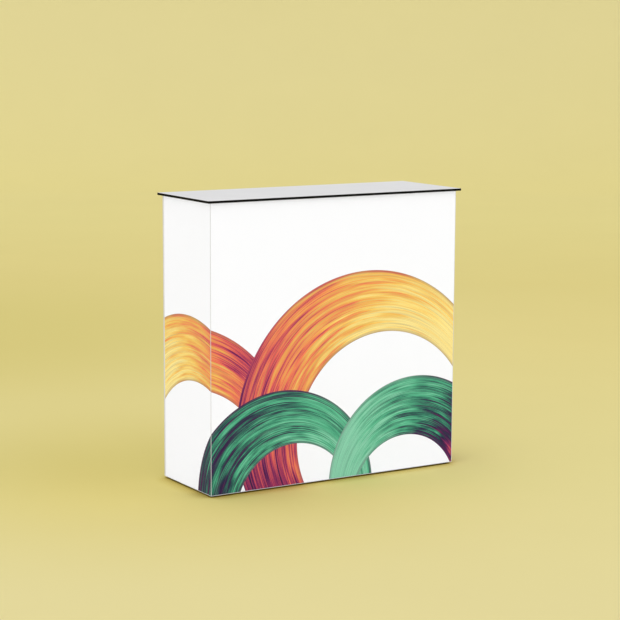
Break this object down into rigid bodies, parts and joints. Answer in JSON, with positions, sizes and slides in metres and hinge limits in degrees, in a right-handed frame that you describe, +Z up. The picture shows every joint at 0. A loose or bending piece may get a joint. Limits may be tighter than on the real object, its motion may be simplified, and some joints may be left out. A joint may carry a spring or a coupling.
{
  "type": "exhibition counter",
  "caption": "Upright box counter with an aluminium frame, stretched textile graphics on the front and sides, a thin overhanging worktop and lockable rear doors.",
  "frame": {"origin": "on the floor, below the middle of the worktop, which is the bottom centre of the bounding box", "axes": "+X along the counter to the right of someone who faces its front, +Y from the front to the rear doors, +Z up"},
  "size_m": [1.02, 0.368, 1],
  "materials": {
    "frame_aluminium": "extrusion, satin powder coat in light grey",
    "cast_connector": "die cast, dull",
    "textile": null,
    "silicone": "translucent white silicone strip",
    "worktop_laminate": "compact laminate, light grey decor on a black core",
    "white_board": "white melamine-faced board",
    "trim_aluminium": "satin anodised",
    "plated_steel": "nickel plated",
    "foot_plastic": "black moulded plastic"
  },
  "bodies": {
    "counter_body": {"upright_front_left": "frame_aluminium", "upright_front_right": "frame_aluminium", "upright_rear_left": "frame_aluminium", "upright_rear_right": "frame_aluminium", "rail_front_bottom": "frame_aluminium", "rail_front_top": "frame_aluminium", "rail_rear_bottom": "frame_aluminium", "rail_rear_top": "frame_aluminium", "rail_left_bottom": "frame_aluminium", "rail_left_top": "frame_aluminium", "rail_right_bottom": "frame_aluminium", "rail_right_top": "frame_aluminium", "connector_front_left_bottom": "cast_connector", "connector_front_left_top": "cast_connector", "connector_front_right_bottom": "cast_connector", "connector_front_right_top": "cast_connector", "connector_rear_left_bottom": "cast_connector", "connector_rear_left_top": "cast_connector", "connector_rear_right_bottom": "cast_connector", "connector_rear_right_top": "cast_connector", "graphic_front": "textile", "graphic_left": "textile", "graphic_right": "textile", "silicone_edge_front": "silicone", "silicone_edge_left": "silicone", "silicone_edge_right": "silicone", "worktop": "worktop_laminate", "worktop_bracket_front_left": "plated_steel", "worktop_bracket_front_right": "plated_steel", "worktop_bracket_rear_left": "plated_steel", "worktop_bracket_rear_right": "plated_steel", "base_panel": "white_board", "shelf": "white_board", "shelf_bearer_left": "trim_aluminium", "shelf_bearer_right": "trim_aluminium", "door_stop_bar": "trim_aluminium", "hinge_left_lower_frame_leaf": "plated_steel", "hinge_left_upper_frame_leaf": "plated_steel", "hinge_right_lower_frame_leaf": "plated_steel", "hinge_right_upper_frame_leaf": "plated_steel", "hinge_left_lower_pin": "plated_steel", "hinge_left_upper_pin": "plated_steel", "hinge_right_lower_pin": "plated_steel", "hinge_right_upper_pin": "plated_steel"},
    "left_door": {"door_left": "white_board", "bolt_guide": "plated_steel", "hinge_left_lower_door_leaf": "plated_steel", "hinge_left_upper_door_leaf": "plated_steel"},
    "right_door": {"door_right": "white_board", "lock_barrel": "plated_steel", "door_knob": "trim_aluminium", "hinge_right_lower_door_leaf": "plated_steel", "hinge_right_upper_door_leaf": "plated_steel"},
    "lock_cam": {"lock_cam": "plated_steel"},
    "bolt": {"bolt": "plated_steel"},
    "foot_front_left": {"foot_front_left": "foot_plastic"},
    "foot_front_right": {"foot_front_right": "foot_plastic"},
    "foot_rear_left": {"foot_rear_left": "foot_plastic"},
    "foot_rear_right": {"foot_rear_right": "foot_plastic"}
  },
  "joints": [
    {"name": "left_door_hinge", "type": "hinge", "parent": "counter_body", "child": "left_door", "pos_m": [-0.4644, 0.1665, 0.49885], "axis": [0, 0, 1], "range_deg": [0, 170]},
    {"name": "right_door_hinge", "type": "hinge", "parent": "counter_body", "child": "right_door", "pos_m": [0.4644, 0.1665, 0.49885], "axis": [0, 0, -1], "range_deg": [0, 170]},
    {"name": "lock_cam_turn", "type": "hinge", "parent": "right_door", "child": "lock_cam", "pos_m": [0.0266, 0.163, 0.7185], "axis": [0, 1, 0], "range_deg": [0, 90]},
    {"name": "bolt_slide", "type": "slide", "parent": "left_door", "child": "bolt", "axis": [0, 0, 1], "range_m": [0, 0.008]},
    {"name": "foot_front_left_screw", "type": "slide", "parent": "counter_body", "child": "foot_front_left", "axis": [0, 0, -1], "range_m": [0, 0.008]},
    {"name": "foot_front_right_screw", "type": "slide", "parent": "counter_body", "child": "foot_front_right", "axis": [0, 0, -1], "range_m": [0, 0.008]},
    {"name": "foot_rear_left_screw", "type": "slide", "parent": "counter_body", "child": "foot_rear_left", "axis": [0, 0, -1], "range_m": [0, 0.008]},
    {"name": "foot_rear_right_screw", "type": "slide", "parent": "counter_body", "child": "foot_rear_right", "axis": [0, 0, -1], "range_m": [0, 0.008]}
  ]
}
